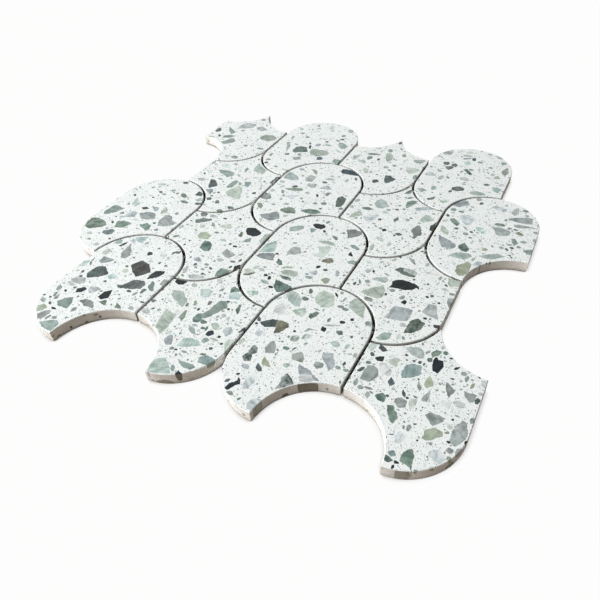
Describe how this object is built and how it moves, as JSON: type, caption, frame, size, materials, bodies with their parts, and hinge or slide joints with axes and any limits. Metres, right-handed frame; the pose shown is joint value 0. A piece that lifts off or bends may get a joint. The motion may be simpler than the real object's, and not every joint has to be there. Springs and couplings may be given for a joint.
{
  "type": "terrazzo mosaic tile",
  "caption": "Interlocking terrazzo mosaic sheet of domed and peaked scale-shaped chips with narrow joints, glued face up on a glass-fibre net, for tiling walls and floors.",
  "frame": {"origin": "middle of the sheet's outline, on the underside of the backing net", "axes": "+X along the rows of chips, +Y from the tails of the chips towards their domes, +Z out of the honed face"},
  "size_m": [0.322, 0.338, 0.008],
  "materials": {
    "terrazzo": "honed face, sawn edges",
    "glass_fibre_net": "coated glass fibre"
  },
  "bodies": {
    "root": {"domed_chip_1_1": "terrazzo", "peaked_chip_1_2": "terrazzo", "domed_chip_1_3": "terrazzo", "peaked_chip_1_4": "terrazzo", "domed_chip_2_1": "terrazzo", "peaked_chip_2_2": "terrazzo", "domed_chip_2_3": "terrazzo", "peaked_chip_2_4": "terrazzo", "peaked_chip_3_1": "terrazzo", "domed_chip_3_2": "terrazzo", "peaked_chip_3_3": "terrazzo", "domed_chip_3_4": "terrazzo", "peaked_chip_4_1": "terrazzo", "domed_chip_4_2": "terrazzo", "peaked_chip_4_3": "terrazzo", "domed_chip_4_4": "terrazzo", "net_long_strands": "glass_fibre_net", "net_cross_strands": "glass_fibre_net"}
  },
  "joints": []
}
